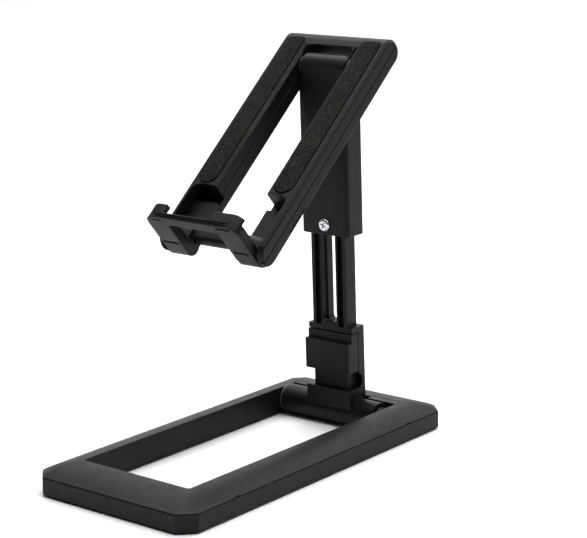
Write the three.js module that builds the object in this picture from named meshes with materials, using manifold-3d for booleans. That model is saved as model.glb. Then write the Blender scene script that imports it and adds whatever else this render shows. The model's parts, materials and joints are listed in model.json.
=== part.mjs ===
// Folding phone stand: a ring base, a column that folds into it, a telescoping sleeve,
// a tilting cradle with two foam pads, and a flip-out ledge for the phone's lower edge.
// Millimetres, +Z up. The origin is on the table, under the centre of the base.
// The user sits on the -Y side, and the column stands at the +Y end.

import * as THREE from 'three';
import { mergeVertices } from 'three/addons/utils/BufferGeometryUtils.js';
import Module from 'manifold-3d';

const wasm = await Module();
wasm.setup();

// ---------- driving dimensions ----------
const GAP = 0.3;                 // clearance between pieces that touch

// base ring
const BASE_WIDTH = 79.5;
const BASE_LENGTH = 165;
const BASE_CORNER = 6.15;        // corner cut of the outline
const BASE_BOTTOM = 0.8;         // the feet lift the ring this much
const BASE_PARTING = 7.7;        // where the top shell meets the tray
const BASE_TOP = 11.85;
const OPENING_WIDTH = 53.6;
const OPENING_FRONT = -66.7;
const OPENING_BACK = 66.4;
const LIP_FRONT = 63.4;           // thin lips reach over the barrel, beside the column
const LIP_INNER = 12.4;
const LIP_THICK = 0.85;
const SHELL_WALL = 1.8;
const FOOT_RADIUS = 4;
const FOOT_HEIGHT = 1.2;
const FOOT_AT = { x: 32.4, y: 70 };
const BASE_SCREW_AT = { x: 33, y: 44 };

// fold hinge, at the back of the opening
const FOLD_Y = 58.2;
const FOLD_Z = 6.4;
const BARREL_RADIUS = 6.25;
const BARREL_LEFT = -25.2;
const BARREL_RIGHT = 22.5;
const PIN_RADIUS = 1.5;
const PIN_BORE = PIN_RADIUS + GAP;

// column, measured from the fold axis: v to the back, h up
const COLUMN_LEAN = 1.82;        // degrees forward at rest
const COLUMN_WIDTH = 22.7;
const COLUMN_BACK = 5.2;
const PLATE_FRONT = 0.95;        // front of the back plate, where the cover meets it
const SADDLE_FRONT = -5.6;
const SADDLE_TOP = 10.6;
const NECK_WIDTH = 17.3;
const NECK_FRONT = -3.5;
const NOTCH_RADIUS = 3.3;
const NOTCH_BACK = 3.5;
const COVER_BOTTOM = 17.9;
const COVER_FRONT = -6;
const COVER_STEP = 31.2;         // above this the cover is thinner
const STEP_FRONT = -3.75;
const COVER_TOP = 35;
const COVER_SCREW = { x: 4.5, h: 27 };
const CAP_TOP = 37.5;

// stem that the sleeve slides on
const STEM_WIDTH = 17.7;
const STEM_FRONT = -3.3;
const STEM_BACK = 3.55;
const STEM_TOP = 99;
const CORE_FRONT = -2.2;         // core of the column, inside the front cover
const SLOT_WIDTH = 5.6;
const SLOT_CORNER = 1.6;
const SLOT_BOTTOM = 39;
const SLOT_TOP = 84.7;
const TRACK_WIDTH = 7;           // wider track in front of the slot, with a shoulder behind it
const TRACK_BACK = -0.4;
const GROOVE_INNER = 4.5;
const GROOVE_OUTER = 7.1;
const GROOVE_DEPTH = 2.2;
const GROOVE_BOTTOM = 37.3;

// sleeve
const SLEEVE_WIDTH = 24.2;
const HEAD_WIDTH = 22.7;         // narrower at the tilt pin, between the washers
const HEAD_BOTTOM = 138.5;
const SLEEVE_FRONT = -5.1;
const SLEEVE_BACK = 5.5;
const SLEEVE_BOTTOM = 76.8;
const SLEEVE_CHAMFER = 1.3;
const CAVITY_TOP = 139.6;
const TILT_V = 0.2;
const TILT_H = 145.9;
const LOCK_SCREW_H = 81.1;

// cradle, measured from the tilt axis: y to the back, z towards the top end
const CRADLE_TILT = 49.17;       // degrees back from upright at rest
const CRADLE_WIDTH = 52.4;
const CRADLE_THICK = 11;
const CRADLE_TOP = 15.3;
const CRADLE_BOTTOM = -99.3;
const CRADLE_BEVEL = 1.2;
const WINDOW_WIDTH = 25;
const WINDOW_TOP = 6.8;
const WINDOW_CORNER = 2.8;
const SIDE_WALL = 2.3;           // outer wall beside the ledge pocket
const POCKET_TOP = -70.3;
const POCKET_CORNER = 4;
const HOOK_SLOT_END = -74.4;
const HOOK_SLOT_DEPTH = 2.1;
const FLOOR_END = -87.2;
const PAD_INNER = 14.6;
const PAD_OUTER = 23.6;
const PAD_TOP = 10.1;
const PAD_BOTTOM = -69.4;
const PAD_LOW_RADIUS = 4.2;
const PAD_HIGH_RADIUS = 2.4;
const PAD_PROUD = 0.6;
const PAD_RECESS = 0.8;
const CRADLE_SCREW_X = 19.1;
const CRADLE_SCREW_Z = [-8, -60];

// ledge, measured in the cradle's frame
const LEDGE_AXIS = { y: 0.98, z: -91.9 };
const LEDGE_WIDTH = 45.8;
const LEDGE_OUTER = -99.1;       // face away from the phone
const LEDGE_REACH = -19.9;       // front of the hooks
const LEDGE_PLATE = 2.7;
const LEG_THICK = 4.1;
const LEG_INNER = 12.3;
const BAR_BACK = -15.6;          // back of the front bar
const HOOK_TOP = -92.3;
const HOOK_THICK = 2.4;
const HOOK_BACK = -16.9;
const HOOK_LEFT_END = -14.4;
const HOOK_RIGHT_END = 8.4;
const LEDGE_CORNER = 4.5;
const KNUCKLE_RADIUS = 4.4;
const LEDGE_BAR_RADIUS = 2.3;
const LEDGE_PIN_RADIUS = 1;
const LEDGE_PIN_HALF = 25.3;

// ---------- materials ----------
function finish(color, roughness, metalness) {
  return new THREE.MeshStandardMaterial({ color, roughness, metalness });
}

const blackPlastic = finish(0x1b1b1d, 0.5, 0);
const foam = finish(0x2c2825, 0.95, 0);
const rubber = finish(0x151515, 0.9, 0);
const brightSteel = finish(0xc9ccd0, 0.3, 1);
const nylon = finish(0x3a3a3c, 0.55, 0);

// ---------- solids ----------
const { Manifold, Mesh: SolidMesh } = wasm;

function solid(geometry) {
  const plain = geometry.index ? geometry.toNonIndexed() : geometry.clone();
  for (const name of Object.keys(plain.attributes)) {
    if (name !== 'position') plain.deleteAttribute(name);
  }
  const merged = mergeVertices(plain, 1e-4);
  return new Manifold(new SolidMesh({
    numProp: 3,
    vertProperties: new Float32Array(merged.attributes.position.array),
    triVerts: new Uint32Array(merged.index.array),
  }));
}

function geometryOf(shape) {
  const mesh = shape.getMesh();
  const geometry = new THREE.BufferGeometry();
  geometry.setAttribute('position', new THREE.BufferAttribute(mesh.vertProperties, 3));
  geometry.setIndex(new THREE.BufferAttribute(mesh.triVerts, 1));
  geometry.computeVertexNormals();
  return geometry;
}

function place(group, name, shape, material) {
  const mesh = new THREE.Mesh(geometryOf(shape), material);
  mesh.name = name;
  group.add(mesh);
}

function box(x, y, z) {
  const geometry = new THREE.BoxGeometry(x[1] - x[0], y[1] - y[0], z[1] - z[0]);
  geometry.translate((x[0] + x[1]) / 2, (y[0] + y[1]) / 2, (z[0] + z[1]) / 2);
  return solid(geometry);
}

function rodX(radius, x, y, z, sides = 32) {
  const geometry = new THREE.CylinderGeometry(radius, radius, x[1] - x[0], sides);
  geometry.rotateZ(Math.PI / 2);
  geometry.translate((x[0] + x[1]) / 2, y, z);
  return solid(geometry);
}

function rodY(radius, x, y, z, sides = 24) {
  const geometry = new THREE.CylinderGeometry(radius, radius, y[1] - y[0], sides);
  geometry.translate(x, (y[0] + y[1]) / 2, z);
  return solid(geometry);
}

function rodZ(radius, x, y, z, sides = 24) {
  const geometry = new THREE.CylinderGeometry(radius, radius, z[1] - z[0], sides);
  geometry.rotateX(Math.PI / 2);
  geometry.translate(x, y, (z[0] + z[1]) / 2);
  return solid(geometry);
}

// a closed outline in the plane across X, extruded along X
function prismX(outline, x) {
  const shape = new THREE.Shape(outline.map(([y, z]) => new THREE.Vector2(y, z)));
  const geometry = new THREE.ExtrudeGeometry(shape, { depth: x[1] - x[0], bevelEnabled: false });
  geometry.applyMatrix4(new THREE.Matrix4().set(0, 0, 1, x[0], 1, 0, 0, 0, 0, 1, 0, 0, 0, 0, 0, 1));
  return solid(geometry);
}

// a closed outline in X and Y, extruded along Z
function prismZ(outline, z) {
  const shape = new THREE.Shape(outline.map(([x, y]) => new THREE.Vector2(x, y)));
  const geometry = new THREE.ExtrudeGeometry(shape, { depth: z[1] - z[0], bevelEnabled: false });
  geometry.translate(0, 0, z[0]);
  return solid(geometry);
}

// a closed outline in X and Z, extruded along Y
function prismY(outline, y) {
  const shape = new THREE.Shape(outline.map(([x, z]) => new THREE.Vector2(x, z)));
  const geometry = new THREE.ExtrudeGeometry(shape, { depth: y[1] - y[0], bevelEnabled: false });
  geometry.rotateX(Math.PI / 2);
  geometry.translate(0, y[1], 0);
  return solid(geometry);
}

// rounded rectangle in two axes, with one radius for each pair of corners
function roundedOutline(a, b, lowRadius, highRadius, steps = 5) {
  const corners = [
    [a[1] - lowRadius, b[0] + lowRadius, lowRadius, -90],
    [a[1] - highRadius, b[1] - highRadius, highRadius, 0],
    [a[0] + highRadius, b[1] - highRadius, highRadius, 90],
    [a[0] + lowRadius, b[0] + lowRadius, lowRadius, 180],
  ];
  const points = [];
  for (const [ca, cb, radius, start] of corners) {
    for (let i = 0; i <= steps; i += 1) {
      const angle = THREE.MathUtils.degToRad(start + (90 * i) / steps);
      points.push([ca + radius * Math.cos(angle), cb + radius * Math.sin(angle)]);
    }
  }
  return points;
}

// rings of equal point counts, joined side by side and closed into a loop or by end caps
function loft(rings, looped) {
  const count = rings[0].length;
  const positions = rings.flat(2);
  const index = [];
  const spans = looped ? rings.length : rings.length - 1;
  for (let i = 0; i < spans; i += 1) {
    const next = (i + 1) % rings.length;
    for (let j = 0; j < count; j += 1) {
      const k = (j + 1) % count;
      const [a, b, c, d] = [i * count + j, i * count + k, next * count + k, next * count + j];
      index.push(a, b, c, a, c, d);
    }
  }
  if (!looped) {
    const last = (rings.length - 1) * count;
    for (let j = 1; j < count - 1; j += 1) {
      index.push(0, j + 1, j);
      index.push(last, last + j, last + j + 1);
    }
  }
  const geometry = new THREE.BufferGeometry();
  geometry.setAttribute('position', new THREE.Float32BufferAttribute(positions, 3));
  geometry.setIndex(index);
  return solid(geometry);
}

function mirrored(shape) {
  return shape.mirror([1, 0, 0]);
}

// ---------- base ----------
// u runs from 0 at the outer outline to 1 at the opening
function baseRing(u, z) {
  const lerp = THREE.MathUtils.lerp;
  const x = lerp(BASE_WIDTH / 2, OPENING_WIDTH / 2, u);
  const front = lerp(-BASE_LENGTH / 2, OPENING_FRONT, u);
  const back = lerp(BASE_LENGTH / 2, OPENING_BACK, u);
  const cut = lerp(BASE_CORNER, 0.6, u);
  return [
    [x - cut, front, z], [x, front + cut, z], [x, back - cut, z], [x - cut, back, z],
    [-x + cut, back, z], [-x, back - cut, z], [-x, front + cut, z], [-x + cut, front, z],
  ];
}

function sweptRing(profile) {
  return loft(profile.map(([u, z]) => baseRing(u, z)), true);
}

function domeHeight(u, low, high) {
  return high - (high - low) * (1 - u) ** 2.2;
}

function baseTopShell() {
  const low = BASE_PARTING + GAP / 2;
  const railWidth = (BASE_WIDTH - OPENING_WIDTH) / 2;
  const wall = SHELL_WALL / railWidth;
  const steps = 7;
  const outside = [];
  const inside = [];
  for (let i = 0; i <= steps; i += 1) {
    const u = i / steps;
    const innerU = wall + u * (1 - 2 * wall);
    outside.push([u, domeHeight(u, low, BASE_TOP)]);
    inside.unshift([innerU, domeHeight(innerU, low, BASE_TOP) - SHELL_WALL]);
  }
  const foot = inside.pop();
  inside.push([foot[0], low]);
  const profile = [...outside, [1, BASE_BOTTOM], [1 - wall, BASE_BOTTOM], ...inside];
  let shell = sweptRing(profile);
  for (const [sx, sy] of [[1, 1], [1, -1], [-1, 1], [-1, -1]]) {
    const [x, y] = [sx * BASE_SCREW_AT.x, sy * BASE_SCREW_AT.y];
    const post = rodZ(2.8, x, y, [BASE_BOTTOM + SHELL_WALL + GAP, BASE_TOP - 2]);
    shell = shell.add(post).subtract(rodZ(1.3, x, y, [0, 8.6]));
  }
  const hingeBoss = rodX(3.4, [23.6, OPENING_WIDTH / 2 + 1], FOLD_Y, FOLD_Z);
  const pinHole = rodX(PIN_BORE, [-29, 29], FOLD_Y, FOLD_Z, 24);
  const lip = box([LIP_INNER, OPENING_WIDTH / 2 + 0.5], [LIP_FRONT, OPENING_BACK + 0.5],
    [BASE_TOP - LIP_THICK, BASE_TOP]);
  shell = shell.add(lip).add(mirrored(lip));
  return shell.add(hingeBoss).subtract(pinHole);
}

function baseTray() {
  const railWidth = (BASE_WIDTH - OPENING_WIDTH) / 2;
  const wall = SHELL_WALL / railWidth;
  const floorEnd = 1 - wall - GAP / railWidth;
  const floorTop = BASE_BOTTOM + SHELL_WALL;
  const profile = [
    [0, BASE_BOTTOM], [0, BASE_PARTING - GAP / 2], [wall, BASE_PARTING - GAP / 2],
    [wall, floorTop], [floorEnd, floorTop], [floorEnd, BASE_BOTTOM],
  ];
  let tray = sweptRing(profile);
  for (const [sx, sy] of [[1, 1], [1, -1], [-1, 1], [-1, -1]]) {
    const foot = [sx * FOOT_AT.x, sy * FOOT_AT.y];
    const screw = [sx * BASE_SCREW_AT.x, sy * BASE_SCREW_AT.y];
    tray = tray.subtract(rodZ(FOOT_RADIUS + GAP, ...foot, [0, FOOT_HEIGHT + GAP]));
    tray = tray.subtract(rodZ(1.3, ...screw, [0, 4]));
    tray = tray.subtract(rodZ(2.7, ...screw, [0, 1.9]));
  }
  return tray;
}

function baseScrew(x, y) {
  return rodZ(2.4, x, y, [BASE_BOTTOM, 1.6]).add(rodZ(1, x, y, [1.2, 8.2], 16));
}

function foldPin() {
  const head = rodX(2.7, [28.95, 30.8], FOLD_Y, FOLD_Z, 24);
  return head.add(rodX(PIN_RADIUS, [-31.6, 29.5], FOLD_Y, FOLD_Z, 24));
}

function ringX(outer, inner, x, y, z, sides = 32) {
  const hole = rodX(inner, [x[0] - 1, x[1] + 1], y, z, 24);
  return rodX(outer, x, y, z, sides).subtract(hole);
}

// ---------- column ----------
const column = { y: FOLD_Y, z: FOLD_Z };

function stem() {
  const half = STEM_WIDTH / 2;
  const blade = box([-half, half], [STEM_FRONT, STEM_BACK], [COVER_TOP + GAP / 2, STEM_TOP]);
  const core = box([-half, half], [CORE_FRONT, STEM_BACK], [COVER_BOTTOM - 1, COVER_TOP + 1]);
  const slotOutline = (width) => roundedOutline(
    [-width / 2, width / 2], [SLOT_BOTTOM, SLOT_TOP], SLOT_CORNER, SLOT_CORNER);
  let body = blade.add(core);
  body = body.subtract(prismY(slotOutline(SLOT_WIDTH), [-5, 5]));
  body = body.subtract(prismY(slotOutline(TRACK_WIDTH), [-5, TRACK_BACK]));
  const grooveBack = STEM_FRONT + GROOVE_DEPTH;
  const groove = box([GROOVE_INNER, GROOVE_OUTER], [-5, grooveBack], [GROOVE_BOTTOM, STEM_TOP + 1]);
  return body.subtract(groove).subtract(mirrored(groove));
}

// one moulding: barrel, saddle, notched neck, back plate, cap and slotted stem
function columnBody() {
  const half = COLUMN_WIDTH / 2;
  const barrel = rodX(BARREL_RADIUS, [BARREL_LEFT, BARREL_RIGHT], 0, 0, 40);
  const saddle = box([-half, half], [SADDLE_FRONT, COLUMN_BACK], [0, SADDLE_TOP]);
  const neckHalf = NECK_WIDTH / 2;
  const neck = box([-neckHalf, neckHalf], [NECK_FRONT, COLUMN_BACK], [SADDLE_TOP - 1, COVER_BOTTOM]);
  const plate = box([-half, half], [PLATE_FRONT, COLUMN_BACK], [SADDLE_TOP - 1, CAP_TOP]);
  const cap = box([-half, half], [STEM_FRONT, COLUMN_BACK], [COVER_TOP + GAP / 2, CAP_TOP]);
  let body = barrel.add(saddle).add(neck).add(plate).add(cap).add(stem());
  const notchHeight = SADDLE_TOP + NOTCH_RADIUS;
  const notchOutline = roundedOutline(
    [-12, NOTCH_BACK], [SADDLE_TOP, SADDLE_TOP + 2 * NOTCH_RADIUS], NOTCH_RADIUS, NOTCH_RADIUS);
  const notch = prismX(notchOutline, [neckHalf, half + 1]);
  const frontClear = box([neckHalf, half + 1], [-12, 0], [SADDLE_TOP, notchHeight + NOTCH_RADIUS]);
  body = body.subtract(notch).subtract(mirrored(notch));
  body = body.subtract(frontClear).subtract(mirrored(frontClear));
  body = body.subtract(rodX(PIN_BORE, [-30, 30], 0, 0, 24));
  for (const x of [-COVER_SCREW.x, COVER_SCREW.x]) {
    body = body.subtract(rodY(1.1, x, [-5, 6], COVER_SCREW.h, 16));
    body = body.subtract(rodY(2.1, x, [4.5, 6], COVER_SCREW.h, 20));
  }
  return body;
}

function frontCover() {
  const half = COLUMN_WIDTH / 2;
  const low = COVER_BOTTOM + GAP / 2;
  const high = COVER_TOP - GAP / 2;
  const back = PLATE_FRONT - GAP;
  const outline = [
    [back, low], [back, high], [STEP_FRONT, high], [STEP_FRONT, COVER_STEP],
    [COVER_FRONT, COVER_STEP], [COVER_FRONT, low],
  ];
  let cover = prismX(outline.reverse(), [-half, half]);
  const stemHalf = STEM_WIDTH / 2 + GAP;
  cover = cover.subtract(box([-stemHalf, stemHalf], [CORE_FRONT - GAP, 4], [0, 40]));
  for (const x of [-COVER_SCREW.x, COVER_SCREW.x]) {
    cover = cover.subtract(rodY(1.1, x, [-4.6, 2], COVER_SCREW.h, 16));
  }
  return cover;
}

function coverScrew(x) {
  const head = rodY(1.8, x, [4.8, 5.2], COVER_SCREW.h, 20);
  return head.add(rodY(0.8, x, [-4.3, 5], COVER_SCREW.h, 12));
}

// ---------- sleeve ----------
function sleeve() {
  const half = HEAD_WIDTH / 2;
  const c = SLEEVE_CHAMFER;
  const section = (side) => [
    [-side + c, SLEEVE_FRONT], [side - c, SLEEVE_FRONT], [side, SLEEVE_FRONT + c * 0.7],
    [side, SLEEVE_BACK - 0.6], [side - 0.6, SLEEVE_BACK], [-side + 0.6, SLEEVE_BACK],
    [-side, SLEEVE_BACK - 0.6], [-side, SLEEVE_FRONT + c * 0.7],
  ];
  const radius = (SLEEVE_BACK - SLEEVE_FRONT) / 2;
  const wide = prismZ(section(SLEEVE_WIDTH / 2), [SLEEVE_BOTTOM, HEAD_BOTTOM]);
  const bodyPart = wide.add(prismZ(section(half), [HEAD_BOTTOM - 1, TILT_H]));
  const rings = [[half, c], [half - c, 0]].map(([x, inset]) => ({ x, r: radius - inset * 0.7 }));
  const circle = (x, r) => Array.from({ length: 36 }, (_, i) => {
    const angle = (i / 36) * 2 * Math.PI;
    return [x, TILT_V + r * Math.cos(angle), TILT_H + r * Math.sin(angle)];
  });
  const head = loft([
    circle(-rings[0].x, rings[0].r), circle(-rings[1].x, rings[1].r),
    circle(rings[1].x, rings[1].r), circle(rings[0].x, rings[0].r),
  ], false);
  const stemHalf = STEM_WIDTH / 2 + GAP;
  const cavity = box([-stemHalf, stemHalf], [STEM_FRONT - GAP, STEM_BACK + GAP], [70, CAVITY_TOP]);
  const bore = rodX(PIN_BORE, [-14, 14], TILT_V, TILT_H, 24);
  const screwHole = rodY(1.3, 0, [-6, -3], LOCK_SCREW_H, 16);
  return bodyPart.add(head).subtract(cavity).subtract(bore).subtract(screwHole);
}

// the screw turns in a square nut behind the sleeve's front wall and pushes the shoe
// against the shoulder of the stem's track
function lockScrew() {
  const under = SLEEVE_FRONT - 0.05;
  const head = rodY(2.7, 0, [under - 0.7, under], LOCK_SCREW_H, 32);
  const crown = rodY(2, 0, [under - 1.2, under - 0.5], LOCK_SCREW_H, 24);
  return head.add(crown).add(rodY(1, 0, [under - 0.2, TRACK_BACK - 1.4], LOCK_SCREW_H, 16));
}

function lockNut() {
  const outline = [[-3.1, -2.2], [3.1, -2.2], [3.1, 2.2], [-3.1, 2.2]];
  const nut = prismY(outline.map(([x, z]) => [x, z + LOCK_SCREW_H]), [STEM_FRONT - 0.2, -2]);
  return nut.subtract(rodY(1.3, 0, [-5, 5], LOCK_SCREW_H, 16));
}

function lockShoe() {
  const span = [LOCK_SCREW_H - 2.6, LOCK_SCREW_H + 2.6];
  return prismY(roundedOutline([-3.2, 3.2], span, 1.2, 1.2), [TRACK_BACK - 1.3, TRACK_BACK - 0.15]);
}

// ---------- cradle ----------
function stadium(x, inset) {
  const radius = CRADLE_THICK / 2;
  const r = radius - inset;
  const points = [];
  const steps = 12;
  for (const [centre, start] of [[CRADLE_TOP - radius, 0], [CRADLE_BOTTOM + radius, 180]]) {
    for (let i = 0; i <= steps; i += 1) {
      const angle = THREE.MathUtils.degToRad(start + (180 * i) / steps);
      points.push([x, r * Math.cos(angle), centre + r * Math.sin(angle)]);
    }
  }
  return points;
}

function cradleBlock() {
  const half = CRADLE_WIDTH / 2;
  const flat = half - CRADLE_BEVEL;
  const block = loft([
    stadium(-half, CRADLE_BEVEL), stadium(-flat, 0), stadium(flat, 0), stadium(half, CRADLE_BEVEL),
  ], false);
  const t = CRADLE_THICK / 2;
  const w = WINDOW_WIDTH / 2;
  const windowSection = [
    [-w - CRADLE_BEVEL, -t], [-w - CRADLE_BEVEL, -t - 1], [w + CRADLE_BEVEL, -t - 1],
    [w + CRADLE_BEVEL, -t], [w, -t + CRADLE_BEVEL], [w, t + 1], [-w, t + 1], [-w, -t + CRADLE_BEVEL],
  ];
  const window = prismZ(windowSection, [CRADLE_BOTTOM - 2, WINDOW_TOP]);
  const corner = cornerFill(w, WINDOW_TOP, WINDOW_CORNER, [-t, t]);
  return block.subtract(window).add(corner).add(mirrored(corner));
}

// fills the upper outer corner of an opening, leaving a round of the given radius
function cornerFill(x, z, radius, y) {
  const block = box([x - radius, x + 0.1], y, [z - radius, z + 0.1]);
  return block.subtract(rodY(radius, x - radius, [y[0] - 1, y[1] + 1], z - radius));
}

function railCavity(y) {
  return box([WINDOW_WIDTH / 2 + 1.9, CRADLE_WIDTH / 2 - 1.9], y, [POCKET_TOP + 2, 5.5]);
}

function cradlePins() {
  const tilt = rodX(PIN_BORE, [-24.8, 24.8], 0, 0, 24);
  const ledge = rodX(LEDGE_PIN_RADIUS + GAP, [-25.6, 25.6], LEDGE_AXIS.y, LEDGE_AXIS.z, 20);
  return tilt.add(ledge);
}

function withBosses(shell, y, drill) {
  let result = shell;
  for (const x of [-CRADLE_SCREW_X, CRADLE_SCREW_X]) {
    for (const z of CRADLE_SCREW_Z) {
      result = result.add(rodY(2.6, x, y, z)).subtract(rodY(1.3, x, drill, z, 16));
    }
    result = result.add(rodY(3.4, x, y, 0));
  }
  return result;
}

function cradleFrontFrame() {
  const t = CRADLE_THICK / 2;
  const half = CRADLE_WIDTH / 2;
  let frame = cradleBlock().subtract(box([-40, 40], [-GAP / 2, 20], [-120, 40]));
  const cavity = railCavity([-t + 2.2, 5]);
  frame = frame.subtract(cavity).subtract(mirrored(cavity));
  frame = withBosses(frame, [-t + 2, -GAP / 2], [-t + 2.4, 1]);
  const pocket = box([WINDOW_WIDTH / 2 - 2, half - SIDE_WALL], [-20, 5], [-120, POCKET_TOP]);
  const pad = padShape(GAP, [-20, -t + PAD_RECESS]);
  frame = frame.subtract(pocket).subtract(mirrored(pocket));
  const corner = cornerFill(half - SIDE_WALL, POCKET_TOP, POCKET_CORNER, [-t, -GAP / 2]);
  frame = frame.add(corner).add(mirrored(corner));
  frame = frame.subtract(pad).subtract(mirrored(pad));
  return frame.subtract(cradlePins());
}

function cradleBackShell() {
  const t = CRADLE_THICK / 2;
  const half = CRADLE_WIDTH / 2;
  let shell = cradleBlock().subtract(box([-40, 40], [-20, GAP / 2], [-120, 40]));
  const cavity = railCavity([-5, t - 1.9]);
  shell = shell.subtract(cavity).subtract(mirrored(cavity));
  shell = withBosses(shell, [GAP / 2, t - 1.5], [-1, t + 1]);
  const inner = WINDOW_WIDTH / 2 - 2;
  const hookSlot = box([inner, half - SIDE_WALL], [-5, HOOK_SLOT_DEPTH], [HOOK_SLOT_END, POCKET_TOP]);
  const endCut = box([inner, half - SIDE_WALL], [-5, 20], [-120, FLOOR_END]);
  for (const cut of [hookSlot, endCut]) shell = shell.subtract(cut).subtract(mirrored(cut));
  for (const x of [-CRADLE_SCREW_X, CRADLE_SCREW_X]) {
    for (const z of CRADLE_SCREW_Z) shell = shell.subtract(rodY(2.5, x, [t - 1.3, 20], z));
  }
  return shell.subtract(cradlePins());
}

function cradleScrew(x, z) {
  const t = CRADLE_THICK / 2;
  return rodY(2.1, x, [t - 1, t - 0.2], z).add(rodY(1, x, [-2.6, t - 0.6], z, 16));
}

// the outline of a foam strip, grown by a margin, over a span in y
function padShape(margin, y) {
  const outline = roundedOutline([PAD_INNER - margin, PAD_OUTER + margin],
    [PAD_BOTTOM - margin, PAD_TOP + margin], PAD_LOW_RADIUS + margin, PAD_HIGH_RADIUS + margin);
  return prismY(outline, y);
}

function pad() {
  const t = CRADLE_THICK / 2;
  return padShape(0, [-t - PAD_PROUD, -t + PAD_RECESS - GAP]);
}

// ---------- ledge ----------
function ledge() {
  const half = LEDGE_WIDTH / 2;
  const { y, z } = LEDGE_AXIS;
  const plateTop = LEDGE_OUTER + LEDGE_PLATE;
  const plan = (inset) => roundedOutline(
    [-half + inset, half - inset], [-40, -LEDGE_REACH - inset],
    0.5, LEDGE_CORNER - inset).map(([x, reach]) => [x, -reach]);
  const slab = (outline, span) => prismZ([...outline].reverse(), span);
  const plate = slab(plan(0), [LEDGE_OUTER, plateTop]);
  const bar = plate.intersect(box([-40, 40], [-40, BAR_BACK], [-120, -80]));
  const rim = slab(plan(0), [LEDGE_OUTER, HOOK_TOP]).subtract(slab(plan(HOOK_THICK), [-120, -80]));
  const hooks = rim.intersect(box([-40, HOOK_LEFT_END], [-40, HOOK_BACK], [-120, -80])
    .add(box([HOOK_RIGHT_END, 40], [-40, HOOK_BACK], [-120, -80])));
  const legTop = LEDGE_OUTER + LEG_THICK;
  const legBlock = slab(plan(0), [LEDGE_OUTER, legTop])
    .intersect(box([LEG_INNER, half], [BAR_BACK - 1.6, y], [-120, -80]));
  const heel = rodX(4, [LEG_INNER + 0.5, half], y + 0.9, LEDGE_OUTER + 4);
  const knuckle = rodX(KNUCKLE_RADIUS, [LEG_INNER + 0.5, half], y, z);
  const heelFill = box([LEG_INNER + 0.5, half], [y - KNUCKLE_RADIUS, y + 0.9], [LEDGE_OUTER, z]);
  const leg = legBlock.add(heel).add(knuckle).add(heelFill);
  const barOutline = roundedOutline([y - 2.3, y + 2.3], [z - 2.3, z + 3.2], 2.2, 1, 6);
  const crossbar = prismX(barOutline, [-LEG_INNER - 1, LEG_INNER + 1]);
  let body = bar.add(hooks).add(leg).add(mirrored(leg)).add(crossbar);
  body = body.subtract(rodX(LEDGE_PIN_RADIUS + GAP, [-30, 30], y, z, 20));
  return body;
}

// ---------- assembly ----------
function frameAt(parent, y, z, degrees) {
  const group = new THREE.Group();
  group.position.set(0, y, z);
  group.rotation.x = THREE.MathUtils.degToRad(degrees);
  parent.add(group);
  return group;
}

const stand = new THREE.Group();

place(stand, 'base_top_shell', baseTopShell(), blackPlastic);
place(stand, 'base_bottom_tray', baseTray(), blackPlastic);
let corner = 0;
for (const [sx, sy] of [[1, 1], [1, -1], [-1, 1], [-1, -1]]) {
  corner += 1;
  place(stand, `foot_${corner}`,
    rodZ(FOOT_RADIUS, sx * FOOT_AT.x, sy * FOOT_AT.y, [0, FOOT_HEIGHT]), rubber);
  place(stand, `base_screw_${corner}`,
    baseScrew(sx * BASE_SCREW_AT.x, sy * BASE_SCREW_AT.y), brightSteel);
}
place(stand, 'fold_pin', foldPin(), brightSteel);
place(stand, 'fold_pin_nut', ringX(3, PIN_BORE, [-31.1, -28.95], FOLD_Y, FOLD_Z, 6), brightSteel);
place(stand, 'fold_washer_left', ringX(6, PIN_BORE, [-26.5, -25.5], FOLD_Y, FOLD_Z), nylon);
place(stand, 'fold_washer_right', ringX(4.4, PIN_BORE, [22.8, 23.3], FOLD_Y, FOLD_Z), nylon);

const columnFrame = frameAt(stand, column.y, column.z, COLUMN_LEAN);
place(columnFrame, 'column_body', columnBody(), blackPlastic);
place(columnFrame, 'column_front_cover', frontCover(), blackPlastic);
place(columnFrame, 'cover_screw_left', coverScrew(-COVER_SCREW.x), brightSteel);
place(columnFrame, 'cover_screw_right', coverScrew(COVER_SCREW.x), brightSteel);

place(columnFrame, 'sleeve', sleeve(), blackPlastic);
place(columnFrame, 'lock_screw', lockScrew(), brightSteel);
place(columnFrame, 'lock_shoe', lockShoe(), nylon);
place(columnFrame, 'lock_nut', lockNut(), brightSteel);

const cradleFrame = frameAt(columnFrame, TILT_V, TILT_H, -CRADLE_TILT - COLUMN_LEAN);
place(cradleFrame, 'cradle_front_frame', cradleFrontFrame(), blackPlastic);
place(cradleFrame, 'cradle_back_shell', cradleBackShell(), blackPlastic);
place(cradleFrame, 'pad_right', pad(), foam);
place(cradleFrame, 'pad_left', mirrored(pad()), foam);
place(cradleFrame, 'tilt_pin', rodX(PIN_RADIUS, [-24.5, 24.5], 0, 0, 24), brightSteel);
place(cradleFrame, 'tilt_washer_left', ringX(4, PIN_BORE, [-12.2, -11.65], 0, 0), nylon);
place(cradleFrame, 'tilt_washer_right', ringX(4, PIN_BORE, [11.65, 12.2], 0, 0), nylon);
let count = 0;
for (const x of [-CRADLE_SCREW_X, CRADLE_SCREW_X]) {
  for (const z of CRADLE_SCREW_Z) {
    count += 1;
    place(cradleFrame, `cradle_screw_${count}`, cradleScrew(x, z), brightSteel);
  }
}
place(cradleFrame, 'ledge_pin',
  rodX(LEDGE_PIN_RADIUS, [-LEDGE_PIN_HALF, LEDGE_PIN_HALF], LEDGE_AXIS.y, LEDGE_AXIS.z, 16),
  brightSteel);
place(cradleFrame, 'ledge', ledge(), blackPlastic);

export default stand;
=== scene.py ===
"""Looks for the folding phone stand: finished pieces, materials, floor, lights and camera.

Metres, in the CAD frame: +Z up, the user on the -Y side, the column at the +Y end.
"""
import json
import math

import bmesh
import bpy
from mathutils import Matrix, Vector, noise
from mathutils.bvhtree import BVHTree


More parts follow.
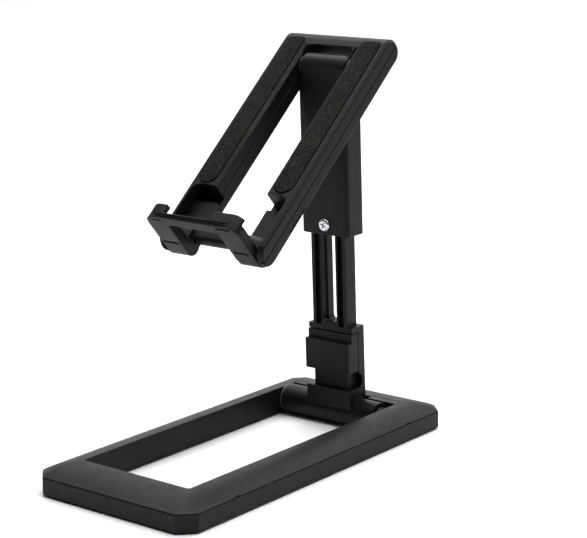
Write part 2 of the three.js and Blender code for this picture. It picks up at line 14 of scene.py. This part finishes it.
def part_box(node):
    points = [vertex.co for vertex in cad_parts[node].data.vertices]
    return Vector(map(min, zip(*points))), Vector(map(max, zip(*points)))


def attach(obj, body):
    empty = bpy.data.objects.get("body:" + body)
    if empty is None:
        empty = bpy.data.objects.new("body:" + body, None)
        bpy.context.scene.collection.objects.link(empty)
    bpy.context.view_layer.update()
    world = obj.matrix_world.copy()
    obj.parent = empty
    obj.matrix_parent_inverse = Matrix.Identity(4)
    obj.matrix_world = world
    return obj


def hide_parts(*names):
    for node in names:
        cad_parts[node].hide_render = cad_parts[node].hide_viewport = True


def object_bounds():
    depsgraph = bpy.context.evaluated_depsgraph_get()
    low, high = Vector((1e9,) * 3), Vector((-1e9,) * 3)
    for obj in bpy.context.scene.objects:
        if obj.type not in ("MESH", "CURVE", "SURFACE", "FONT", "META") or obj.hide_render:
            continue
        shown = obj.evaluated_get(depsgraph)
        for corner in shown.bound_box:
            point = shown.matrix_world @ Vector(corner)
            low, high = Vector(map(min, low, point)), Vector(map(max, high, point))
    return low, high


MM = 0.001

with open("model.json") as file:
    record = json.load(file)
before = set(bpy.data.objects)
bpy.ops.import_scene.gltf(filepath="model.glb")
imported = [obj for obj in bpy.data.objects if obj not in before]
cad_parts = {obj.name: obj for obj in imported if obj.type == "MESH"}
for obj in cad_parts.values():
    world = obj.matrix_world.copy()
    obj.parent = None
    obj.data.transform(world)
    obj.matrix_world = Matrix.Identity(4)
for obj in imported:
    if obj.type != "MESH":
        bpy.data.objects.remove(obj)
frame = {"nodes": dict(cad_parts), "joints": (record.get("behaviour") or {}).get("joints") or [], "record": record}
cad_low, cad_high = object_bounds()

# ---------- places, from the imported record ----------
JOINTS = {joint["name"]: joint for joint in frame["joints"]}
MOUNTS = {mount["name"]: mount for mount in frame["record"]["mounts"]}
BODY_OF = {
    node: body
    for body, nodes in frame["record"]["behaviour"]["bodies"].items()
    for node in nodes
}


def tilted_frame(origin, up):
    """A matrix whose local Z is up and whose local X is the row's X."""
    z_axis = Vector(up).normalized()
    y_axis = z_axis.cross(Vector((1, 0, 0))).normalized()
    matrix = Matrix((Vector((1, 0, 0)), y_axis, z_axis)).transposed().to_4x4()
    matrix.translation = Vector(origin)
    return matrix


COLUMN = tilted_frame(JOINTS["column_fold"]["pos_m"], JOINTS["sleeve_slide"]["axis"])
CRADLE = tilted_frame(JOINTS["cradle_tilt"]["pos_m"], MOUNTS["phone_edge_rest"]["axis"])
ROW = Matrix.Identity(4)


def local_box(node, matrix):
    """(low, high) of a CAD node measured in a tilted frame."""
    inverse = matrix.inverted()
    points = [inverse @ vertex.co for vertex in frame["nodes"][node].data.vertices]
    low = Vector([min(point[i] for point in points) for i in range(3)])
    high = Vector([max(point[i] for point in points) for i in range(3)])
    return low, high


# ---------- materials ----------
class Nodes:
    """A short way to build one node material around a Principled shader."""

    def __init__(self, name):
        self.material = bpy.data.materials.new(name)
        self.material.use_nodes = True
        self.tree = self.material.node_tree
        self.shader = self.tree.nodes["Principled BSDF"]
        self.coordinates = self.tree.nodes.new("ShaderNodeTexCoord").outputs["Object"]

    def set(self, **values):
        for name, value in values.items():
            self.shader.inputs[name.replace("_", " ")].default_value = value

    def noise(self, size, detail=3.0, roughness=0.55, stretch=(1, 1, 1)):
        """Fractal noise whose blobs are about `size` metres across."""
        mapping = self.tree.nodes.new("ShaderNodeMapping")
        mapping.inputs["Scale"].default_value = stretch
        self.tree.links.new(self.coordinates, mapping.inputs["Vector"])
        node = self.tree.nodes.new("ShaderNodeTexNoise")
        node.inputs["Scale"].default_value = 1 / size
        node.inputs["Detail"].default_value = detail
        node.inputs["Roughness"].default_value = roughness
        self.tree.links.new(mapping.outputs["Vector"], node.inputs["Vector"])
        return node.outputs["Fac"]

    def cells(self, size):
        node = self.tree.nodes.new("ShaderNodeTexVoronoi")
        node.inputs["Scale"].default_value = 1 / size
        self.tree.links.new(self.coordinates, node.inputs["Vector"])
        return node

    def ramp(self, value, stops):
        """Colour stops [(position, colour), ...] driven by a value."""
        node = self.tree.nodes.new("ShaderNodeValToRGB")
        elements = node.color_ramp.elements
        while len(elements) < len(stops):
            elements.new(0.5)
        for element, (position, colour) in zip(elements, stops):
            element.position = position
            element.color = (*colour, 1)
        self.tree.links.new(value, node.inputs["Fac"])
        return node.outputs["Color"]

    def spread(self, value, low, high, start=0.3, end=0.7):
        """Maps a value between start and end to a value between low and high."""
        node = self.tree.nodes.new("ShaderNodeMapRange")
        for name, number in (("From Min", start), ("From Max", end), ("To Min", low), ("To Max", high)):
            node.inputs[name].default_value = number
        self.tree.links.new(value, node.inputs["Value"])
        return node.outputs["Result"]

    def worn(self, colour, edge_colour, start, end):
        """Lightens the colour along convex edges, as handling does."""
        geometry = self.tree.nodes.new("ShaderNodeNewGeometry")
        mix = self.tree.nodes.new("ShaderNodeMix")
        mix.data_type = "RGBA"
        factor = self.spread(geometry.outputs["Pointiness"], 0.0, 1.0, start, end)
        self.tree.links.new(factor, mix.inputs["Factor"])
        self.tree.links.new(colour, mix.inputs["A"])
        mix.inputs["B"].default_value = (*edge_colour, 1)
        return mix.outputs["Result"]

    def bump(self, *layers):
        """Layers of (height value, distance in metres), stacked."""
        normal = None
        for height, distance in layers:
            node = self.tree.nodes.new("ShaderNodeBump")
            node.inputs["Distance"].default_value = distance
            node.inputs["Strength"].default_value = 1.0
            self.tree.links.new(height, node.inputs["Height"])
            if normal is not None:
                self.tree.links.new(normal, node.inputs["Normal"])
            normal = node.outputs["Normal"]
        self.tree.links.new(normal, self.shader.inputs["Normal"])

    def link(self, value, name):
        self.tree.links.new(value, self.shader.inputs[name])


def moulded_black(name, shade, roughness, grain):
    """Injection-moulded ABS: a fine spark-eroded grain with faint cloudy gloss variation."""
    made = Nodes(name)
    cloud = made.noise(14 * MM, 4)
    dark = tuple(shade * 0.82 for _ in range(3))
    light = (shade * 1.22, shade * 1.22, shade * 1.3)
    colour = made.ramp(cloud, [(0.3, dark), (0.7, light)])
    colour = made.worn(colour, (shade * 3.4, shade * 3.4, shade * 3.5), 0.52, 0.60)
    made.link(colour, "Base Color")
    made.link(made.spread(made.noise(5 * MM, 5), roughness - 0.05, roughness + 0.06), "Roughness")
    made.bump((made.noise(0.35 * MM, 3), grain), (made.noise(9 * MM, 2), 0.02 * MM))
    made.set(IOR=1.5, Specular_IOR_Level=0.15)
    return made.material


def foam_material():
    """Closed-cell foam: brown-black with lighter specks and open pores."""
    made = Nodes("foam")
    speck = made.noise(0.5 * MM, 5, 0.8)
    patch = made.noise(7 * MM, 3)
    fine = made.ramp(speck, [(0.36, (0.0018, 0.0017, 0.0017)), (0.5, (0.0078, 0.0074, 0.0068)),
                             (0.64, (0.062, 0.058, 0.052))])
    broad = made.ramp(patch, [(0.3, (0.75, 0.72, 0.78)), (0.7, (1.1, 1.08, 1.0))])
    mix = made.tree.nodes.new("ShaderNodeMix")
    mix.data_type = "RGBA"
    mix.blend_type = "MULTIPLY"
    mix.inputs["Factor"].default_value = 1.0
    made.tree.links.new(fine, mix.inputs["A"])
    made.tree.links.new(broad, mix.inputs["B"])
    made.link(mix.outputs["Result"], "Base Color")
    made.bump((made.cells(0.5 * MM).outputs["Distance"], 0.12 * MM), (speck, 0.1 * MM))
    made.set(Roughness=0.95, Specular_IOR_Level=0.12)
    return made.material


def steel_material():
    """Bright nickel plate with fine turning marks."""
    made = Nodes("plated_steel")
    marks = made.noise(0.3 * MM, 4, stretch=(1, 8, 1))
    made.link(made.ramp(marks, [(0.3, (0.52, 0.53, 0.55)), (0.7, (0.72, 0.73, 0.75))]), "Base Color")
    made.link(made.spread(made.noise(1.2 * MM, 3), 0.18, 0.32), "Roughness")
    made.bump((marks, 0.006 * MM))
    made.set(Metallic=1.0)
    return made.material


def soft_dark(name, shade, roughness, grain):
    """Rubber or nylon: dull, with a slight dusty bloom."""
    made = Nodes(name)
    bloom = made.noise(3 * MM, 4)
    made.link(made.ramp(bloom, [(0.3, (shade * 0.8,) * 3), (0.7, (shade * 1.4,) * 3)]), "Base Color")
    made.link(made.spread(bloom, roughness - 0.06, roughness + 0.06), "Roughness")
    made.bump((made.noise(0.3 * MM, 3), grain))
    return made.material


PLASTIC = moulded_black("black_plastic", 0.0045, 0.42, 0.014 * MM)
BASE_PLASTIC = moulded_black("base_plastic", 0.0054, 0.45, 0.016 * MM)
FOAM = foam_material()
STEEL = steel_material()
RUBBER = soft_dark("rubber", 0.014, 0.85, 0.03 * MM)
NYLON = soft_dark("nylon", 0.045, 0.5, 0.01 * MM)

SLOT_MATERIAL = {
    "black_plastic": PLASTIC,
    "foam": FOAM,
    "rubber": RUBBER,
    "steel": STEEL,
    "nylon": NYLON,
}
SLOT_OF = {row["node"]: row["material_slot"] for row in frame["record"]["subparts"]}


# ---------- mesh helpers ----------
WELD = 0.002 * MM                    # points closer than this are one point
FLAT_ANGLE = math.radians(0.6)       # faces that meet this flat are merged
HARD_ANGLE = math.radians(36)        # edges sharper than this are rounded
CREASE_ANGLE = math.radians(34)      # edges sharper than this stay creased when shaded
STRAY_SHARE = 0.62                   # corners more than this many widths off have strayed


def new_object(name, bm, matrix=ROW):
    mesh = bpy.data.meshes.new(name)
    bm.to_mesh(mesh)
    bm.free()
    mesh.transform(matrix)
    made = bpy.data.objects.new(name, mesh)
    bpy.context.scene.collection.objects.link(made)
    return made


def block(name, x, y, z, matrix=ROW):
    """A box cutter between the given spans."""
    bm = bmesh.new()
    bmesh.ops.create_cube(bm, size=1)
    size = Vector((x[1] - x[0], y[1] - y[0], z[1] - z[0]))
    middle = Vector(((x[0] + x[1]) / 2, (y[0] + y[1]) / 2, (z[0] + z[1]) / 2))
    for vertex in bm.verts:
        vertex.co = Vector(a * b for a, b in zip(vertex.co, size)) + middle
    return new_object(name, bm, matrix)


def lathe(name, profile, matrix, segments=48):
    """Turns (radius, height) points about local Y and closes both ends on the axis."""
    bm = bmesh.new()
    rings = []
    for radius, height in profile:
        ring = []
        for i in range(segments):
            angle = 2 * math.pi * i / segments
            ring.append(bm.verts.new((radius * math.cos(angle), height, radius * math.sin(angle))))
        rings.append(ring)
    for lower, upper in zip(rings, rings[1:]):
        for i in range(segments):
            j = (i + 1) % segments
            bm.faces.new((lower[i], lower[j], upper[j], upper[i]))
    bm.faces.new(rings[0])
    bm.faces.new(list(reversed(rings[-1])))
    bmesh.ops.recalc_face_normals(bm, faces=bm.faces)
    return new_object(name, bm, matrix)


def apply_all(piece):
    """Bakes the piece's modifiers into its mesh."""
    bpy.context.view_layer.update()
    evaluated = piece.evaluated_get(bpy.context.evaluated_depsgraph_get())
    mesh = bpy.data.meshes.new_from_object(evaluated)
    piece.modifiers.clear()
    piece.data = mesh


def cut(piece, cutters):
    """Takes each cutter out of the piece in turn."""
    for cutter in cutters:
        modifier = piece.modifiers.new("cut", "BOOLEAN")
        modifier.operation = "DIFFERENCE"
        modifier.solver = "EXACT"
        modifier.object = cutter
        apply_all(piece)
        bpy.data.objects.remove(cutter)


def pull_in(piece, surface, reach):
    """Moves rounded corners that strayed off the piece's own surface back onto it."""
    for vertex in piece.data.vertices:
        nearest, _, _, distance = surface.find_nearest(vertex.co)
        if distance > reach:
            vertex.co = nearest


def split_large_faces(piece):
    """Divides faces of more than four corners, so that every reader sees the same surface."""
    bm = bmesh.new()
    bm.from_mesh(piece.data)
    bmesh.ops.triangulate(bm, faces=[face for face in bm.faces if len(face.verts) > 4])
    bm.to_mesh(piece.data)
    bm.free()


def soften(piece, width, segments=3, merge=True):
    """Merges flat triangles into faces, then rounds the hard edges by a moulding radius."""
    bm = bmesh.new()
    bm.from_mesh(piece.data)
    surface = BVHTree.FromBMesh(bm)
    bmesh.ops.remove_doubles(bm, verts=bm.verts, dist=WELD)
    if merge:
        bmesh.ops.dissolve_limit(bm, angle_limit=FLAT_ANGLE, verts=bm.verts, edges=bm.edges)
    bm.to_mesh(piece.data)
    bm.free()
    bevel = piece.modifiers.new("soften", "BEVEL")
    bevel.width = width
    bevel.segments = segments
    bevel.limit_method = "ANGLE"
    bevel.angle_limit = HARD_ANGLE
    bevel.use_clamp_overlap = False
    bevel.miter_outer = "MITER_ARC"
    apply_all(piece)
    pull_in(piece, surface, STRAY_SHARE * width)
    split_large_faces(piece)
    piece.data.polygons.foreach_set("use_smooth", [True] * len(piece.data.polygons))
    piece.data.set_sharp_from_angle(angle=CREASE_ANGLE)
    weighted = piece.modifiers.new("weighted", "WEIGHTED_NORMAL")
    weighted.keep_sharp = True
    apply_all(piece)


def dress(piece, node, material=None):
    """Gives the piece its material, body and slot, and lets it stand for its CAD node."""
    slot = SLOT_OF[node]
    piece.data.materials.clear()
    piece.data.materials.append(material or SLOT_MATERIAL[slot])
    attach(piece, BODY_OF[node])
    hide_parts(node)
    return piece


def copy_of(node):
    mesh = frame["nodes"][node].data.copy()
    made = bpy.data.objects.new(f"{node}_finished", mesh)
    bpy.context.scene.collection.objects.link(made)
    return made


# ---------- finer features, as cutters ----------
def base_shell_cutters():
    """Two small snap windows on the parting line of the right long side."""
    low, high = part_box("base_top_shell")
    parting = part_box("base_bottom_tray")[1].z
    side = high.x
    return [
        block("snap", (side - 0.5 * MM, side + MM), (y - 1.3 * MM, y + 1.3 * MM),
              (parting - MM, parting + 0.75 * MM))
        for y in (low.y * 0.66, high.y * 0.66)
    ]


def ledge_cutters():
    """Four slots in the ledge's outer face, two to a leg, and two grooves along the front bar."""
    low, high = local_box("ledge", CRADLE)
    outer = low.z
    front = low.y
    slots = []
    near_bar = front + 1.55 * MM
    near_heel = front + 15.6 * MM
    for x_span, y in (((-22.0, -15.0), near_bar), ((12.8, 19.8), near_bar),
                      ((-22.0, -13.8), near_heel), ((14.1, 21.2), near_heel)):
        x = tuple(value * MM for value in x_span)
        slots.append(block("slot", x, (y - 0.5 * MM, y + 0.5 * MM),
                           (outer - MM, outer + 0.55 * MM), CRADLE))
    grooves = [
        block("groove", (low.x - MM, high.x + MM), (front - MM, front + 0.16 * MM),
              (outer + level * MM, outer + (level + 0.16) * MM), CRADLE)
        for level in (0.8, 1.75)
    ]
    return slots + grooves


def back_shell_cutters():
    """A narrow step slot low on each outer side of the cradle's back shell."""
    low, high = local_box("cradle_back_shell", CRADLE)
    y = high.y - 2.0 * MM
    foot = low.z + 18.5 * MM
    return [
        block("step", (side - 0.45 * MM, side + 0.45 * MM), (y - 0.3 * MM, y + 0.3 * MM),
              (foot, foot + 12 * MM), CRADLE)
        for side in (low.x, high.x)
    ]


CUTTERS = {
    "base_top_shell": base_shell_cutters,
    "cradle_back_shell": back_shell_cutters,
    "ledge": ledge_cutters,
}
EDGE_WIDTH = {
    "base_top_shell": 0.22,
    "base_bottom_tray": 0.22,
    "cradle_front_frame": 0.24,
    "cradle_back_shell": 0.2,
    "sleeve": 0.35,
    "ledge": 0.32,
    "column_body": 0.2,
    "column_front_cover": 0.2,
}
DEFAULT_EDGE = 0.1
OWN_MATERIAL = {"base_top_shell": BASE_PLASTIC, "base_bottom_tray": BASE_PLASTIC}
SPECIAL = {"pad_left", "pad_right", "lock_screw"}
UNMERGED = {"cradle_front_frame"}    # merging its faces would twist the window's upper wall


def finish_hard_pieces():
    for node in frame["nodes"]:
        if node in SPECIAL:
            continue
        piece = copy_of(node)
        if node in CUTTERS:
            cut(piece, CUTTERS[node]())
        soften(piece, EDGE_WIDTH.get(node, DEFAULT_EDGE) * MM, merge=node not in UNMERGED)
        dress(piece, node, OWN_MATERIAL.get(node))


# ---------- the sleeve's screw ----------
def make_lock_screw():
    """A pan-head screw with a domed rim and a cross recess."""
    low, high = local_box("lock_screw", COLUMN)
    centre = (low.z + high.z) / 2
    head_radius = (high.z - low.z) / 2
    shank_radius = 1.0 * MM
    front = low.y
    head_height = 1.3 * MM
    profile = [(0.25 * head_radius, front)]
    for i in range(1, 9):
        angle = math.radians(90 * i / 8)
        profile.append((head_radius * (0.55 + 0.45 * math.sin(angle)),
                        front + head_height * 0.75 * (1 - math.cos(angle))))
    profile += [(head_radius, front + head_height), (shank_radius, front + head_height),
                (shank_radius, high.y)]
    place = COLUMN @ Matrix.Translation((0, 0, centre))
    screw = lathe("lock_screw_finished", profile, place)
    turn = place @ Matrix.Rotation(math.radians(24), 4, "Y")
    arm, half_width, depth = 1.35 * MM, 0.28 * MM, 0.8 * MM
    span = (front - MM, front + depth)
    cut(screw, [
        block("recess", (-arm, arm), span, (-half_width, half_width), turn),
        block("recess", (-half_width, half_width), span, (-arm, arm), turn),
    ])
    soften(screw, 0.06 * MM, segments=2)
    return dress(screw, "lock_screw")


# ---------- foam pads ----------
PAD_RADII = (4.2 * MM, 2.4 * MM)     # corner radii at the low and high ends
PAD_EDGE = 0.42 * MM                 # rounding where the face meets the sides
PAD_CROWN = 0.10 * MM                # how far the middle of the face stands out
PAD_ROUGHNESS = 0.03 * MM
PAD_POINTS = 420                     # points round one outline


def rounded_ring(x, z, radii, inset, count):
    """Evenly spaced points round a rectangle whose low and high ends have their own radii."""
    low_radius, high_radius = (max(radius - inset, 0.15 * MM) for radius in radii)
    x0, x1 = x[0] + inset, x[1] - inset
    z0, z1 = z[0] + inset, z[1] - inset
    corners = [
        (x1 - low_radius, z0 + low_radius, low_radius, -90),
        (x1 - high_radius, z1 - high_radius, high_radius, 0),
        (x0 + high_radius, z1 - high_radius, high_radius, 90),
        (x0 + low_radius, z0 + low_radius, low_radius, 180),
    ]
    outline = []
    for cx, cz, radius, start in corners:
        for i in range(9):
            angle = math.radians(start + 90 * i / 8)
            outline.append(Vector((cx + radius * math.cos(angle), cz + radius * math.sin(angle))))
    lengths = [(outline[(i + 1) % len(outline)] - p).length for i, p in enumerate(outline)]
    total = sum(lengths)
    points = []
    travelled, index = 0.0, 0
    for k in range(count):
        target = total * k / count
        while travelled + lengths[index] < target:
            travelled += lengths[index]
            index += 1
        share = (target - travelled) / lengths[index]
        points.append(outline[index].lerp(outline[(index + 1) % len(outline)], share))
    return points


def make_pad(node):
    """A crowned strip of foam with rounded edges and a slightly uneven face."""
    low, high = local_box(node, CRADLE)
    x, z = (low.x, high.x), (low.z, high.z)
    front, back = low.y + PAD_CROWN, high.y
    levels = [(0.0, back), (0.0, front + PAD_EDGE)]
    for i in range(1, 6):
        angle = math.radians(18 * i)
        levels.append((PAD_EDGE * (1 - math.cos(angle)), front + PAD_EDGE * (1 - math.sin(angle))))
    for share in (0.25, 0.5, 0.75, 1.0):
        inset = PAD_EDGE + share * 3.4 * MM
        levels.append((inset, front - PAD_CROWN * math.sin(math.radians(90 * share))))
    bm = bmesh.new()
    rings = []
    for inset, y in levels:
        ring = []
        for px, pz in rounded_ring(x, z, PAD_RADII, inset, PAD_POINTS):
            rise = PAD_ROUGHNESS * noise.noise(Vector((px, 0, pz)) / (0.9 * MM))
            face = inset > PAD_EDGE * 0.9
            ring.append(bm.verts.new((px, y + abs(rise) if face else y, pz)))
        rings.append(ring)
    for lower, upper in zip(rings, rings[1:]):
        for i in range(PAD_POINTS):
            j = (i + 1) % PAD_POINTS
            bm.faces.new((lower[i], lower[j], upper[j], upper[i]))
    bm.faces.new(rings[0])
    bm.faces.new(list(reversed(rings[-1])))
    bmesh.ops.recalc_face_normals(bm, faces=bm.faces)
    piece = new_object(f"{node}_foam", bm, CRADLE)
    piece.data.polygons.foreach_set("use_smooth", [True] * len(piece.data.polygons))
    piece.data.set_sharp_from_angle(angle=math.radians(50))
    dress(piece, node)
    return piece


# ---------- floor, light and camera ----------
WORLD_DIM = 0.04
WORLD_BRIGHT = 0.75
CAMERA_PLACE = Vector((457.26, -545.28, 241.74)) * MM
CAMERA_TURN = (38.504, 12.977, -0.577)   # yaw, pitch and roll, in degrees
CAMERA_LENS = 113.84


def make_floor():
    bm = bmesh.new()
    bmesh.ops.create_grid(bm, x_segments=1, y_segments=1, size=6)
    floor = new_object("floor", bm)
    made = Nodes("floor_paint")
    cloud = made.noise(0.4, 3)
    made.link(made.ramp(cloud, [(0.3, (0.90, 0.90, 0.90)), (0.7, (0.93, 0.93, 0.93))]), "Base Color")
    made.set(Roughness=0.9)
    floor.data.materials.append(made.material)


def make_world():
    """A pale room that is bright behind the stand and dim in front of it."""
    bpy.context.scene.view_settings.view_transform = "Standard"
    world = bpy.data.worlds.new("studio")
    world.use_nodes = True
    tree = world.node_tree
    direction = tree.nodes.new("ShaderNodeTexCoord").outputs["Generated"]
    toward = tree.nodes.new("ShaderNodeVectorMath")
    toward.operation = "DOT_PRODUCT"
    toward.inputs[1].default_value = Vector((-0.45, 0.8, 0.45)).normalized()
    tree.links.new(direction, toward.inputs[0])
    level = tree.nodes.new("ShaderNodeMapRange")
    level.interpolation_type = "SMOOTHSTEP"
    level.inputs["From Min"].default_value = -0.15
    level.inputs["From Max"].default_value = 0.95
    level.inputs["To Min"].default_value = WORLD_DIM
    level.inputs["To Max"].default_value = WORLD_BRIGHT
    tree.links.new(toward.outputs["Value"], level.inputs["Value"])
    tree.links.new(level.outputs["Result"], tree.nodes["Background"].inputs["Strength"])
    tree.nodes["Background"].inputs["Color"].default_value = (1, 1, 1, 1)
    bpy.context.scene.world = world


def area_light(name, place, target, size, power):
    data = bpy.data.lights.new(name, "AREA")
    data.shape = "RECTANGLE"
    data.size, data.size_y = size
    data.energy = power
    light = bpy.data.objects.new(name, data)
    light.location = place
    direction = Vector(target) - Vector(place)
    light.rotation_euler = direction.to_track_quat("-Z", "Y").to_euler()
    bpy.context.scene.collection.objects.link(light)


def make_lights():
    """A wide soft light overhead, one for the far floor and a small one for the right-hand bevels."""
    middle = (cad_low + cad_high) / 2
    area_light("overhead", (-0.1, 0.55, 1.7), (0.0, 0.35, 0), (2.4, 2.4), 62)
    area_light("far_floor", (-2.9, 3.7, 1.3), (-2.9, 3.7, 0), (2.6, 2.6), 45)
    area_light("right", (0.80, -0.08, 1.05), middle, (0.3, 0.5), 2.8)


def make_camera():
    """A long lens, to the right of the stand and a little above it."""
    yaw, pitch, roll = (math.radians(a) for a in CAMERA_TURN)
    forward = Vector((-math.sin(yaw) * math.cos(pitch),
                      math.cos(yaw) * math.cos(pitch), -math.sin(pitch)))
    right = forward.cross(Vector((0, 0, 1))).normalized()
    up = right.cross(forward)
    rolled_right = math.cos(roll) * right + math.sin(roll) * up
    rolled_up = math.cos(roll) * up - math.sin(roll) * right
    matrix = Matrix((rolled_right, rolled_up, -forward)).transposed().to_4x4()
    matrix.translation = CAMERA_PLACE
    data = bpy.data.cameras.new("camera")
    data.sensor_width = 36
    data.lens = CAMERA_LENS
    data.clip_start, data.clip_end = 0.01, 20
    camera = bpy.data.objects.new("camera", data)
    camera.matrix_world = matrix
    bpy.context.scene.collection.objects.link(camera)
    bpy.context.scene.camera = camera


finish_hard_pieces()
make_lock_screw()
for pad_node in ("pad_left", "pad_right"):
    make_pad(pad_node)
make_floor()
make_world()
make_lights()
make_camera()
